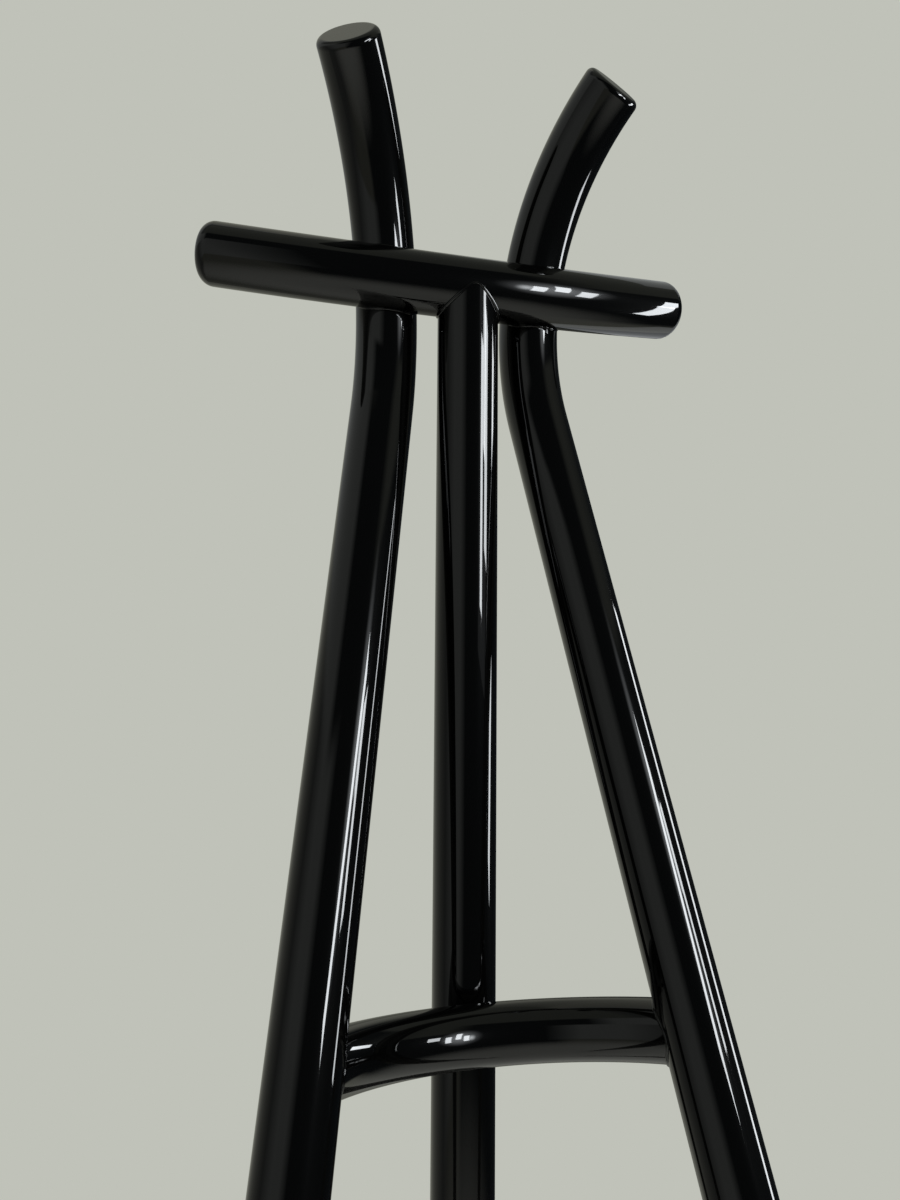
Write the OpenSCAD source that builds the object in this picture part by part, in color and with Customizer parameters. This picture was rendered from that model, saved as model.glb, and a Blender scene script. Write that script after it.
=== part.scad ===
// Coat stand: a three-legged clothes stand of round bent wood under gloss black lacquer.
// Two side legs rise from the floor, lap behind a bowed crossbar and bend on into horns.
// A rear leg is coped to the middle of the crossbar, and an arched stretcher ties all three.
// Origin on the floor, midway between the front feet and the rear one. +X to the right
// along the crossbar, +Y to the back, +Z up. All sizes in millimetres.

/* [Members] */
// Diameter of the side legs and their horns
leg_d = 45; // [40:1:52]
// Diameter of the rear leg, a shade thinner so that its coped top dies into the crossbar
rear_leg_d = 44.4; // [38:0.2:44.6]
// Diameter of the crossbar
bar_d = 45; // [45:1:52]
// Diameter of the stretcher
stretcher_d = 40; // [34:1:42]
// Glue and lacquer space left in every saddle
glue_gap = 0.15; // [0.1:0.05:0.3]

/* [Crossbar] */
// Height of the middle of the crossbar's axis above the floor
bar_height = 1600; // [1450:10:1700]
// Length of the crossbar along its axis, tip to tip
bar_length = 372; // [340:2:440]
// How far the crossbar is slid along its bow to the right; less than 0 is to the left
bar_slide = -6; // [-8:1:8]
// Radius to which the crossbar is bowed
bar_bow_r = 505; // [420:5:900]
// Tilt of the bow: 0 bends the tips straight back, 90 straight up
bar_bow_tilt = 35; // [20:1:45]
// Rounding of the crossbar's two end faces
bar_end_round = 10; // [3:0.5:14]

/* [Side legs] */
// Distance of the right leg's axis from the middle plane where its bend begins
bend_side = 60; // [54:1:70]
// Distance of that point behind the crossbar's middle
bend_back = 30; // [26:1:34]
// Depth of that point below the crossbar's middle
bend_drop = 88; // [70:1:110]
// Outward slant of the straight shank, in degrees
splay_out = 8.2; // [6:0.2:11]
// Forward slant of the straight shank, in degrees
splay_front = 7.3; // [5:0.1:10]
// Radius of the bend that turns the shank into the horn
horn_bend_r = 220; // [190:5:260]
// Angle through which the horn is bent
horn_bend_angle = 68.6; // [55:0.2:80]
// Direction of the bend: 0 bends straight outward, 90 straight to the front
horn_bend_turn = 61.5; // [45:0.5:75]
// Rounding of the horn's end face
horn_end_round = 5; // [2:0.5:10]

/* [Rear leg] */
// Backward slant of the rear leg, in degrees
rear_lean = 9.3; // [8:0.1:11]

/* [Stretcher] */
// Depth of the stretcher's axis below the crossbar's middle
stretcher_drop = 520; // [460:5:600]
// Radius of the stretcher's arch
stretcher_arch_r = 141; // [132:1:170]

/* [Lap bolts and plugs] */
// Shank diameter of the furniture bolts
bolt_d = 6; // [5:1:8]
// Radial room round a bolt's shank
bolt_clearance = 0.25; // [0.2:0.05:0.5]
// Diameter of a bolt's flat head
bolt_head_d = 13; // [11:0.5:15]
// Thickness of a bolt's flat head
bolt_head_h = 3; // [2:0.5:4]
// Size across the flats of the hexagon socket
bolt_socket_af = 4; // [3:0.5:5]
// Diameter of the counterbore and its cover plug
plug_d = 15; // [14:0.5:18]
// Radial room round a cover plug
plug_clearance = 0.1; // [0.05:0.05:0.2]
// Wood left between a side leg's saddle and its counterbore
side_lap_wall = 12; // [10:0.5:14]
// Wood left between the rear leg's saddle and its counterbore
rear_lap_wall = 26; // [22:0.5:30]
// Length of a bolt that is held by its insert
bolt_grip = 12.5; // [10:0.5:14]
// Depth at which an insert sits below its saddle
insert_recess = 1; // [0.8:0.1:2]
// Outside diameter of a threaded insert
insert_d = 10; // [9:0.5:12]
// Length of a threaded insert
insert_length = 15; // [10:1:18]

/* [Dowels] */
// Diameter of the glued dowels
dowel_d = 12; // [10:1:14]
// Length of the glued dowels
dowel_length = 48; // [40:1:54]
// Radial glue room round a dowel
dowel_clearance = 0.1; // [0.05:0.05:0.2]
// Depth to which a dowel enters the piece that it crosses into
dowel_entry = 17; // [12:0.5:18]
// Glue room left past each end of a dowel
dowel_end_room = 0.6; // [0.3:0.1:1]

/* [Feet] */
// Diameter of the glide under each leg
glide_d = 30; // [24:1:34]
// Thickness of a glide
glide_h = 6; // [4:0.5:10]
// Edge rounding of a glide
glide_round = 1.5; // [0.5:0.25:2]
// Length of the screw that holds a glide
glide_screw_length = 25; // [18:1:35]
// Shank diameter of that screw
glide_screw_d = 4; // [3:0.5:5]
// Head diameter of that screw
glide_screw_head_d = 8; // [7:0.5:9]
// Height of that screw's flat head
glide_screw_head_h = 2.2; // [1.5:0.1:3]
// Depth at which the screw's head sits inside the glide's floor face
glide_screw_sink = 1; // [0.5:0.25:2]
// Radial room round the glide screw
screw_clearance = 0.1; // [0.05:0.05:0.2]

/* [Hidden] */
$fn = 96;

lacquer = "#101211";
steel = "#b9bcbd";
brass = "#c2a35a";
beech = "#d9b98c";
nylon = "#1d1d1d";

left = -1;
right = 1;
sides = [left, right];
leg_r = leg_d / 2;
rear_r = rear_leg_d / 2;
bar_r = bar_d / 2;
stretcher_r = stretcher_d / 2;
past = 80; // how far a cutter runs past what it cuts
seam_step = 0.05; // a bent length is this much slimmer than the turned length that it grows from
root_h = 6; // length of the tapered root that a turned length sends into a bent one
root_taper = 0.6; // how much that root narrows

// The crossbar's bow

bar_half_angle = bar_length / 2 / bar_bow_r * 180 / PI;
bar_end_angle = bar_end_round / bar_bow_r * 180 / PI;
bar_slide_angle = bar_slide / bar_bow_r * 180 / PI;
// How far the bow has left the straight line at distance x from the middle
function bow(x) = bar_bow_r * (1 - cos(asin(x / bar_bow_r)));
// The bar's axis at distance x from the middle
function bar_at(x) = [x, bow(x) * cos(bar_bow_tilt), bar_height + bow(x) * sin(bar_bow_tilt)];

// A side leg's straight shank and its bend

bend_z = bar_height - bend_drop;
out_rate = tan(splay_out) / cos(splay_front);
front_rate = tan(splay_front);
// The right shank's axis at height z
function shank_at(z) = [
    bend_side + (bend_z - z) * out_rate,
    bend_back - (bend_z - z) * front_rate,
    z
];
shank_length = bend_z / cos(splay_out) / cos(splay_front);
// Unit vectors of the right leg at the start of its bend: along the shank and into the bend
shank_up = [
    -sin(splay_out),
    sin(splay_front) * cos(splay_out),
    cos(splay_front) * cos(splay_out)
];
bend_in = [
    cos(horn_bend_turn) * cos(splay_out),
    cos(horn_bend_turn) * sin(splay_front) * sin(splay_out)
        - sin(horn_bend_turn) * cos(splay_front),
    cos(horn_bend_turn) * cos(splay_front) * sin(splay_out)
        + sin(horn_bend_turn) * sin(splay_front)
];
// The right leg's axis after the bend has turned through angle a
function bend_at(a) = [bend_side, bend_back, bend_z]
    + horn_bend_r * (sin(a) * shank_up + (1 - cos(a)) * bend_in);
// Angle of the bend at which the axis has climbed by the height rise
function bend_angle(rise) =
    let (
        a = horn_bend_r * shank_up.z,
        b = horn_bend_r * bend_in.z,
        q = 2 * b - rise
    )
    2 * atan((sqrt(a * a + q * rise) - a) / q);

// The side laps, where the right leg passes behind the crossbar

lap_side = bend_at(bend_angle(bend_drop)).x;
lap_point = bar_at(lap_side);
side_saddle_y = lap_point.y + bar_r;
side_seat_y = side_saddle_y + glue_gap + side_lap_wall;

// The rear leg and the stretcher's arch

// The rear leg's axis at height z
function rear_at(z) = [0, (bar_height - z) * tan(rear_lean), z];
stretcher_z = bar_height - stretcher_drop;
stretcher_end = shank_at(stretcher_z);
arch_half_angle = asin(stretcher_end.x / stretcher_arch_r);
arch_centre_y = stretcher_end.y - stretcher_arch_r * cos(arch_half_angle);
rear_saddle_y = arch_centre_y + stretcher_arch_r + stretcher_r;
rear_seat_y = rear_saddle_y + glue_gap + rear_lap_wall;
// A stretcher dowel runs along the chord of the arch that it fills
dowel_far = leg_r - dowel_entry + dowel_length;
dowel_chord_angle = arch_half_angle - dowel_far / stretcher_arch_r * 90 / PI;

bolt_hole_r = bolt_d / 2 + bolt_clearance;
insert_clearance = 0.05;
thread_clearance = 0.05;

// Shapes that repeat

// Quarter of a disc that rounds a turned edge, between +X and +Y
module edge_quarter(edge) {
    intersection() {
        circle(edge);
        square(edge);
    }
}

// A short turned end with a rounded edge, rising from z = 0, with its root below
module round_end(r, edge) {
    rotate_extrude() {
        polygon([[0, -root_h], [r - root_taper, -root_h], [r, 0], [0, 0]]);
        square([r - edge, edge]);
        translate([r - edge, 0])
            edge_quarter(edge);
    }
}

// A turned rod from z = -length to z = 0, with its root above
module turned_rod(r, length) {
    translate([0, 0, -length])
        cylinder(h = length, r = r);
    cylinder(h = root_h, r1 = r, r2 = r - root_taper);
}

// A ring's arc that starts at the origin along +Z and bends towards +X
module bend(r, bend_r, angle) {
    translate([bend_r, 0, 0])
        rotate([90, 0, 0])
            rotate([0, 0, 180 - angle])
                rotate_extrude(angle = angle, $fn = 240)
                    translate([bend_r, 0])
                        circle(r, $fn = 120);
}

// Puts children, drawn for the right side, on the given side
module on_side(side) {
    if (side == left)
        mirror([1, 0, 0]) children();
    else
        children();
}

// Lays a piece drawn along +Z so that it points straight back from a place
module pointing_back(place) {
    translate(place)
        rotate([-90, 0, 0])
            children();
}

// The round form of the crossbar, thickened by extra all round
module bar_form(extra = 0) {
    translate([0, 0, bar_height])
        rotate([bar_bow_tilt, 0, 0])
            translate([0, bar_bow_r, 0])
                rotate([0, 0, -90 - bar_half_angle + bar_end_angle + bar_slide_angle])
                    rotate_extrude(angle = 2 * (bar_half_angle - bar_end_angle))
                        translate([bar_bow_r, 0])
                            circle(bar_r - seam_step + extra);
}

// The crossbar's rounded tip on the given side
module bar_tip(side) {
    on_side(side)
        translate([0, 0, bar_height])
            rotate([bar_bow_tilt, 0, 0])
                translate([0, bar_bow_r, 0])
                    rotate([0, 0, bar_half_angle - bar_end_angle + side * bar_slide_angle])
                        translate([0, -bar_bow_r, 0])
                            rotate([0, 90, 0])
                                round_end(bar_r, bar_end_round);
}

// The whole round form of the stretcher, from one shank's axis to the other's
module stretcher_form(extra = 0) {
    translate([0, arch_centre_y, stretcher_z])
        rotate([0, 0, 90 - arch_half_angle])
            rotate_extrude(angle = 2 * arch_half_angle)
                translate([stretcher_arch_r, 0])
                    circle(stretcher_r + extra);
}

// Places children at the right leg's bend start, with +Z up the shank and +X into the bend
module at_bend() {
    translate([bend_side, bend_back, bend_z])
        rotate([-splay_front, 0, 0])
            rotate([0, -splay_out, 0])
                rotate([0, 0, -horn_bend_turn])
                    children();
}

// The right shank's round form from below the floor to the bend
module shank_form(extra = 0) {
    at_bend()
        turned_rod(leg_r + extra, shank_length + past);
}

// The right leg as a whole round member, before any cut
module leg_form() {
    shank_form();
    at_bend() {
        bend(leg_r - seam_step, horn_bend_r, horn_bend_angle);
        translate([horn_bend_r, 0, 0])
            rotate([0, horn_bend_angle, 0])
                translate([-horn_bend_r, 0, 0])
                    round_end(leg_r, horn_end_round);
    }
}

// The rear leg as a whole round member from the crossbar's axis past the floor
module rear_form() {
    translate([0, 0, bar_height])
        rotate([180 + rear_lean, 0, 0])
            cylinder(h = bar_height / cos(rear_lean) + past, r = rear_r);
}

// Everything below the face on which the glides sit
module below_glide_face() {
    size = 4 * bar_height;
    translate([-size / 2, -size / 2, glide_h - size])
        cube(size);
}

// Pilot hole for a glide screw, going up from a leg's foot
module glide_pilot(foot) {
    translate([foot.x, foot.y, 0])
        cylinder(h = glide_screw_sink + glide_screw_length + 1, d = glide_screw_d);
}

// Shank hole and counterbore of a lap bolt whose head seats at the given place
module lap_bolt_hole(seat) {
    pointing_back(seat)
        cylinder(h = past, d = plug_d);
    pointing_back(seat - [0, past, 0])
        cylinder(h = past + 1, r = bolt_hole_r);
}

// Blind hole for an insert that enters from a saddle at the given place
module insert_hole(saddle) {
    depth = insert_recess + insert_length + 0.5;
    pointing_back(saddle - [0, depth, 0])
        cylinder(h = depth + past, d = insert_d + 2 * insert_clearance);
}

side_seat = [lap_side, side_seat_y, lap_point.z];
side_saddle = [lap_side, side_saddle_y, lap_point.z];
rear_seat = [0, rear_seat_y, stretcher_z];
rear_saddle = [0, rear_saddle_y, stretcher_z];

// Dowel that joins the rear leg to the crossbar, with room all round and past its ends
module rear_dowel_form(room, end_room) {
    translate([0, 0, bar_height])
        rotate([180 + rear_lean, 0, 0])
            translate([0, 0, bar_r - dowel_entry - end_room])
                cylinder(h = dowel_length + 2 * end_room, r = dowel_d / 2 + room);
}

// Dowel that joins the stretcher's right end to the shank
module stretcher_dowel_form(room, end_room) {
    translate(stretcher_end)
        rotate([0, 0, 180 - dowel_chord_angle])
            rotate([0, 90, 0])
                translate([0, 0, leg_r - dowel_entry - end_room])
                    cylinder(h = dowel_length + 2 * end_room, r = dowel_d / 2 + room);
}

// Sizes above run from the middle of the crossbar; this sets the origin midway between the feet
module in_frame() {
    feet_middle = (shank_at(glide_h).y + rear_at(glide_h).y) / 2;
    translate([0, -feet_middle, 0])
        children();
}

// The pieces

module side_leg(side) {
    color(lacquer)
        on_side(side)
            difference() {
                leg_form();
                bar_form(glue_gap);
                lap_bolt_hole(side_seat);
                stretcher_dowel_form(dowel_clearance, dowel_end_room);
                glide_pilot(shank_at(glide_h));
                below_glide_face();
            }
}

module rear_leg() {
    color(lacquer)
        difference() {
            rear_form();
            bar_form(glue_gap);
            stretcher_form(glue_gap);
            lap_bolt_hole(rear_seat);
            rear_dowel_form(dowel_clearance, dowel_end_room);
            glide_pilot(rear_at(glide_h));
            below_glide_face();
        }
}

module crossbar() {
    color(lacquer)
        difference() {
            union() {
                bar_form();
                for (side = sides)
                    bar_tip(side);
            }
            for (side = sides)
                on_side(side) insert_hole(side_saddle);
            rear_dowel_form(dowel_clearance, dowel_end_room);
        }
}

module stretcher() {
    color(lacquer)
        difference() {
            stretcher_form();
            for (side = sides)
                on_side(side) {
                    shank_form(glue_gap);
                    stretcher_dowel_form(dowel_clearance, dowel_end_room);
                }
            insert_hole(rear_saddle);
        }
}

module rear_leg_dowel() {
    color(beech)
        rear_dowel_form(0, 0);
}

module stretcher_dowel(side) {
    color(beech)
        on_side(side) stretcher_dowel_form(0, 0);
}

// Flat-headed furniture bolt with a hexagon socket, its head seated at the given place
module lap_bolt(seat, length) {
    socket_r = bolt_socket_af / 2 / cos(30);
    pointing_back(seat)
        difference() {
            union() {
                cylinder(h = bolt_head_h, d = bolt_head_d);
                translate([0, 0, -length])
                    cylinder(h = length + 0.5, d = bolt_d);
            }
            translate([0, 0, bolt_head_h - 2])
                cylinder(h = 3, r = socket_r, $fn = 6);
        }
}

module side_lap_bolts() {
    length = side_lap_wall + glue_gap + insert_recess + bolt_grip;
    color(steel)
        for (side = sides)
            on_side(side) lap_bolt(side_seat, length);
}

module rear_lap_bolt() {
    color(steel)
        lap_bolt(rear_seat, rear_lap_wall + glue_gap + insert_recess + bolt_grip);
}

module lap_insert(saddle) {
    pointing_back(saddle - [0, insert_recess + insert_length, 0])
        difference() {
            cylinder(h = insert_length, d = insert_d);
            translate([0, 0, -1])
                cylinder(h = insert_length + 2, d = bolt_d + 2 * thread_clearance);
        }
}

module lap_inserts() {
    color(brass) {
        for (side = sides)
            on_side(side) lap_insert(side_saddle);
        lap_insert(rear_saddle);
    }
}

// Cover plug that fills a counterbore and ends flush with the member's round back
module plug_form(seat) {
    pointing_back(seat + [0, bolt_head_h + 0.3, 0])
        cylinder(h = past, r = plug_d / 2 - plug_clearance);
}

module side_bolt_plug(side) {
    color(lacquer)
        on_side(side)
            intersection() {
                leg_form();
                plug_form(side_seat);
            }
}

module bolt_plug_rear() {
    color(lacquer)
        intersection() {
            rear_form();
            plug_form(rear_seat);
        }
}

// Nylon glide under a leg's foot, counterbored for its screw
module glide(foot) {
    r = glide_d / 2;
    color(nylon)
        translate([foot.x, foot.y, 0])
            difference() {
                rotate_extrude() {
                    translate([0, glide_round])
                        square([r, glide_h - glide_round]);
                    square([r - glide_round, glide_round]);
                    translate([r - glide_round, glide_round])
                        mirror([0, 1])
                            edge_quarter(glide_round);
                }
                translate([0, 0, -1])
                    cylinder(h = glide_h + 2, r = glide_screw_d / 2 + screw_clearance);
                translate([0, 0, -1])
                    cylinder(
                        h = 1 + glide_screw_sink + glide_screw_head_h,
                        r = glide_screw_head_d / 2 + screw_clearance
                    );
            }
}

module glide_screw(foot) {
    translate([foot.x, foot.y, glide_screw_sink]) {
        cylinder(h = glide_screw_head_h, d = glide_screw_head_d);
        cylinder(h = glide_screw_length, d = glide_screw_d);
    }
}

module glide_screws() {
    color(steel) {
        for (side = sides)
            on_side(side) glide_screw(shank_at(glide_h));
        glide_screw(rear_at(glide_h));
    }
}

in_frame() side_leg(left);  // side_leg_left
in_frame() side_leg(right);  // side_leg_right
in_frame() rear_leg();
in_frame() crossbar();
in_frame() stretcher();
in_frame() rear_leg_dowel();
in_frame() stretcher_dowel(left);  // stretcher_dowel_left
in_frame() stretcher_dowel(right);  // stretcher_dowel_right
in_frame() side_lap_bolts();
in_frame() rear_lap_bolt();
in_frame() lap_inserts();
in_frame() side_bolt_plug(left);  // bolt_plug_left
in_frame() side_bolt_plug(right);  // bolt_plug_right
in_frame() bolt_plug_rear();
in_frame() on_side(left) glide(shank_at(glide_h));  // glide_left
in_frame() glide(shank_at(glide_h));  // glide_right
in_frame() glide(rear_at(glide_h));  // glide_rear
in_frame() glide_screws();
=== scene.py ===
from math import asin, atan2, cos, pi, radians, sin, sqrt, tan

import bmesh
import bpy
from mathutils import Matrix, Vector, noise


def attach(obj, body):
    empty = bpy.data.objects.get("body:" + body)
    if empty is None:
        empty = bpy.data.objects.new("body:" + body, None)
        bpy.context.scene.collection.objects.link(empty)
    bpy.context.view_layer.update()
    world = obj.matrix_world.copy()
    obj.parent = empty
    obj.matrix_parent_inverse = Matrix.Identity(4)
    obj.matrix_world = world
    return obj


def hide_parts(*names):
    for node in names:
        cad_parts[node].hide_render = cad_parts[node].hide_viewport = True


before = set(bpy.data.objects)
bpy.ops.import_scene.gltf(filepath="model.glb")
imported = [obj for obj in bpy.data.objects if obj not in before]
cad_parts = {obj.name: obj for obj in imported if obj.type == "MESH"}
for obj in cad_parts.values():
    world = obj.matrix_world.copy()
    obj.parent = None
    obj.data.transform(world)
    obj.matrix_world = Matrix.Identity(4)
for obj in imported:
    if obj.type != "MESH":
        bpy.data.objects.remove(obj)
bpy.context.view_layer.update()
scene = bpy.context.scene
print("frame loaded,", len(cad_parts), "nodes")

# Coat stand of round bent wood under gloss black lacquer, in metres and degrees.
# The sizes are the part's own. They start from the floor below the middle of the
# crossbar, and originBack moves them so that the origin lies midway between the feet.


# Paths that the round members follow

def straight(start, end):
    ahead = (end - start).normalized()
    return {"start": start, "ahead": ahead, "length": (end - start).length}


def arc(centre, outward, ahead, radius, fromAngle, toAngle):
    return {"centre": centre, "outward": outward, "ahead": ahead, "radius": radius,
            "from": fromAngle, "to": toAngle}


def pathPoint(part, place):
    # place is a distance on a straight length and an angle on an arc
    if "centre" not in part:
        return part["start"] + place * part["ahead"], part["ahead"]
    out, ahead = part["outward"], part["ahead"]
    point = part["centre"] + part["radius"] * (cos(place) * out + sin(place) * ahead)
    return point, cos(place) * ahead - sin(place) * out


def pathEnds(path):
    first, last = path[0], path[-1]
    return (pathPoint(first, first.get("from", 0.0)),
            pathPoint(last, last.get("to", last.get("length"))))


def nearestOnPart(part, p):
    if "centre" not in part:
        place = min(max((p - part["start"]).dot(part["ahead"]), 0), part["length"])
    else:
        away = p - part["centre"]
        place = atan2(away.dot(part["ahead"]), away.dot(part["outward"]))
        place = min(max(place, part["from"]), part["to"])
    return pathPoint(part, place)


def nearestOnPath(path, p):
    spots = [nearestOnPart(part, p) for part in path]
    return min(spots, key=lambda spot: (p - spot[0]).length)


# Meshes of the round members

skinMesh = {
    "segments": 128,                 # round a member
    "bendStep": 0.003,               # between the rings of a bend
    "shankStep": 0.012,              # between the rings of a straight length
    "edgeRings": 8,                  # over the rounded edge of an end
    "faceShares": (0.97, 0.7, 0.4),  # rings of a flat end, as shares of its radius
    "drillSegments": 64,             # round the drills that bore the holes
    "level": 0.00001,                # a point this near to its ring's plane lies in it
    "slack": 0.0001,                 # how far a point of the skin may lie off the true form
    "agree": 0.94,                   # least cosine between the true form and a facet of it
}


def skinNormal(member, p):
    # Exact outward direction of a round member's skin, rounded ends included
    point, tangent = nearestOnPath(member["path"], p)
    away = p - point
    along = away.dot(tangent)
    if abs(along) < skinMesh["level"]:
        return away.normalized()
    axial = tangent if along > 0 else -tangent
    radial = away - along * tangent
    edge = member["radius"] - member["edge"]
    if radial.length <= edge:
        return axial
    return ((radial.length - edge) * radial.normalized() + abs(along) * axial).normalized()


def skinDistance(member, p):
    return (p - nearestOnPath(member["path"], p)[0]).length - member["radius"]


def circleAround(centre, tangent, guide, radius, segments):
    across = (guide - guide.dot(tangent) * tangent).normalized()
    up = tangent.cross(across)
    turn = 2 * pi / segments
    return [centre + radius * (cos(k * turn) * across + sin(k * turn) * up)
            for k in range(segments)]


def memberCircle(member, centre, tangent, radius):
    return circleAround(centre, tangent, member["guide"], radius, skinMesh["segments"])


def endRings(point, outward, member, flip):
    # The rounded edge and the flat face that close an end, from the skin to the pole
    edge, inner = member["edge"], member["radius"] - member["edge"]
    tangent = -outward if flip else outward
    rings = []
    for k in range(1, skinMesh["edgeRings"] + 1):
        a = k / skinMesh["edgeRings"] * pi / 2
        rings.append(memberCircle(member, point + edge * sin(a) * outward, tangent,
                                  inner + edge * cos(a)))
    pole = point + edge * outward
    for share in skinMesh["faceShares"]:
        rings.append(memberCircle(member, pole, tangent, inner * share))
    rings.append([pole])
    return rings


def memberRings(member, extra=0.0):
    rings = []
    for part in member["path"]:
        if "centre" in part:
            first, last = part["from"], part["to"]
            count = max(2, round((last - first) * part["radius"] / skinMesh["bendStep"]))
        else:
            first, last = 0.0, part["length"]
            count = max(2, round(last / skinMesh["shankStep"]))
        for k in range(count + 1):
            if rings and k == 0:
                continue  # a part starts where the one before it ended
            point, tangent = pathPoint(part, first + (last - first) * k / count)
            rings.append(memberCircle(member, point, tangent, member["radius"] + extra))
    return rings


def closedMesh(name, rings, looped=False):
    # Joins each ring to the next; a ring of one point is a pole
    bm = bmesh.new()
    rows = [[bm.verts.new(p) for p in ring] for ring in rings]
    if looped:
        rows.append(rows[0])
    for a, b in zip(rows, rows[1:]):
        count = max(len(a), len(b))
        for i in range(count):
            j = (i + 1) % count
            if len(a) == 1:
                bm.faces.new((a[0], b[j], b[i]))
            elif len(b) == 1:
                bm.faces.new((a[i], a[j], b[0]))
            else:
                bm.faces.new((a[i], a[j], b[j], b[i]))
    bmesh.ops.recalc_face_normals(bm, faces=bm.faces)
    mesh = bpy.data.meshes.new(name)
    bm.to_mesh(mesh)
    bm.free()
    piece = bpy.data.objects.new(name, mesh)
    scene.collection.objects.link(piece)
    return piece


def roundMember(name, member):
    rings = memberRings(member)
    (start, startAhead), (end, endAhead) = pathEnds(member["path"])
    if member["roundStart"]:
        rings = endRings(start, -startAhead, member, True)[::-1] + rings
    else:
        rings.insert(0, [start])
    if member["roundEnd"]:
        rings += endRings(end, endAhead, member, False)
    else:
        rings.append([end])
    return closedMesh(name, rings)


def memberCutter(member):
    # A member's form, thicker by the glue gap, that cuts its saddle into a neighbour
    (start, _), (end, _) = pathEnds(member["path"])
    return closedMesh("cutter", [[start]] + memberRings(member, boring["glueGap"]) + [[end]])


def drill(start, end, radius):
    tangent = (end - start).normalized()
    guide = Vector((1, 0, 0)) if abs(tangent.x) < 0.9 else Vector((0, 1, 0))  # not along it
    circles = [circleAround(point, tangent, guide, radius, skinMesh["drillSegments"])
               for point in (start, end)]
    return closedMesh("cutter", [[start]] + circles + [[end]])


def carve(piece, cutters):
    for cutter in cutters:
        step = piece.modifiers.new("cut", "BOOLEAN")
        step.operation = "DIFFERENCE"
        step.solver = "EXACT"
        step.object = cutter
    seen = bpy.context.evaluated_depsgraph_get()
    seen.update()
    mesh = bpy.data.meshes.new_from_object(piece.evaluated_get(seen))
    piece.modifiers.clear()
    piece.data = mesh
    for cutter in cutters:
        bpy.data.objects.remove(cutter)


def shadeSmooth(mesh):
    mesh.polygons.foreach_set("use_smooth", [True] * len(mesh.polygons))


def polish(piece, member):
    # Shading normals come from the exact round form, and cut faces keep their own
    mesh = piece.data
    shadeSmooth(mesh)
    reach = member["edge"] + skinMesh["slack"]
    exact = [skinNormal(member, v.co) for v in mesh.vertices]
    onSkin = [abs(skinDistance(member, v.co)) < reach for v in mesh.vertices]
    normals = [None] * len(mesh.loops)
    for face in mesh.polygons:
        flat = face.normal
        for corner in face.loop_indices:
            v = mesh.loops[corner].vertex_index
            keep = onSkin[v] and exact[v].dot(flat) > skinMesh["agree"]
            normals[corner] = exact[v] if keep else flat
    mesh.normals_split_custom_set(normals)


# Materials

def paint(code):
    # sRGB hex to linear
    parts = [int(code[k:k + 2], 16) / 255 for k in (1, 3, 5)]
    return [c / 12.92 if c <= 0.04045 else ((c + 0.055) / 1.055) ** 2.4 for c in parts] + [1]


def addNode(tree, kind, inputs=None, **settings):
    node = tree.nodes.new("ShaderNode" + kind)
    for name, value in settings.items():
        setattr(node, name, value)
    for name, value in (inputs or {}).items():
        if isinstance(value, bpy.types.NodeSocket):
            tree.links.new(value, node.inputs[name])
        else:
            node.inputs[name].default_value = value
    return node


def newMaterial(name):
    material = bpy.data.materials.new(name)
    material.use_nodes = True
    tree = material.node_tree
    tree.nodes.clear()
    place = addNode(tree, "TexCoord")
    return material, tree, place.outputs["Object"]


def setStops(ramp, stops):
    # stops are (place, linear colour); a ramp starts with two elements
    elements = ramp.color_ramp.elements
    while len(elements) < len(stops):
        elements.new(1.0)
    for element, (place, colour) in zip(elements, stops):
        element.position = place
        element.color = colour


def wear(piece, material):
    piece.data.materials.clear()
    piece.data.materials.append(material)


lacquerFinish = {
    "colour": "#020202",        # carbon-black nitrocellulose lacquer, deep and neutral
    "ior": 1.52,                # lacquers run from 1.50 to 1.54
    "gloss": (0.018, 0.045),    # roughness of the rubbed-out skin, from the clouds
    "cloud": 0.030,             # size of the clouds left by the polishing pad
    "cloudSpan": (0.35, 0.65),  # values of the noise between which the gloss goes
    "bloom": 0.025,             # wax haze, a faint glow round the strongest lights
    "bloomRoughness": 0.32,
    "ripple": 0.055,            # length of the long waves left by sanding a round member
    "rippleDepth": 0.0001,
    "peel": 0.006,              # orange peel, about 2 mm in truth, drawn coarser to show
    "peelDepth": 0.000001,
}


def makeBlackLacquer():
    # Sprayed and rubbed lacquer: deep black with mirror-sharp lights that waver a little
    f = lacquerFinish
    material, tree, place = newMaterial("gloss_black_lacquer")
    clouds = addNode(tree, "TexNoise", {"Vector": place, "Scale": 1 / f["cloud"], "Detail": 3})
    gloss = addNode(tree, "MapRange", {
        "Value": clouds.outputs["Fac"],
        "From Min": f["cloudSpan"][0], "From Max": f["cloudSpan"][1],
        "To Min": f["gloss"][0], "To Max": f["gloss"][1]})
    ripple = addNode(tree, "TexNoise", {"Vector": place, "Scale": 1 / f["ripple"], "Detail": 2})
    waves = addNode(tree, "Bump", {
        "Height": ripple.outputs["Fac"], "Strength": 1.0, "Distance": f["rippleDepth"]})
    peel = addNode(tree, "TexNoise", {"Vector": place, "Scale": 1 / f["peel"], "Detail": 0})
    relief = addNode(tree, "Bump", {
        "Height": peel.outputs["Fac"], "Strength": 1.0, "Distance": f["peelDepth"],
        "Normal": waves.outputs["Normal"]})
    shader = addNode(tree, "BsdfPrincipled", {
        "Base Color": paint(f["colour"]), "Roughness": gloss.outputs["Result"],
        "IOR": f["ior"], "Coat Weight": f["bloom"], "Coat IOR": f["ior"],
        "Coat Roughness": f["bloomRoughness"], "Normal": relief.outputs["Normal"],
        "Coat Normal": relief.outputs["Normal"]})
    addNode(tree, "OutputMaterial", {"Surface": shader.outputs["BSDF"]})
    return material


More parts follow.
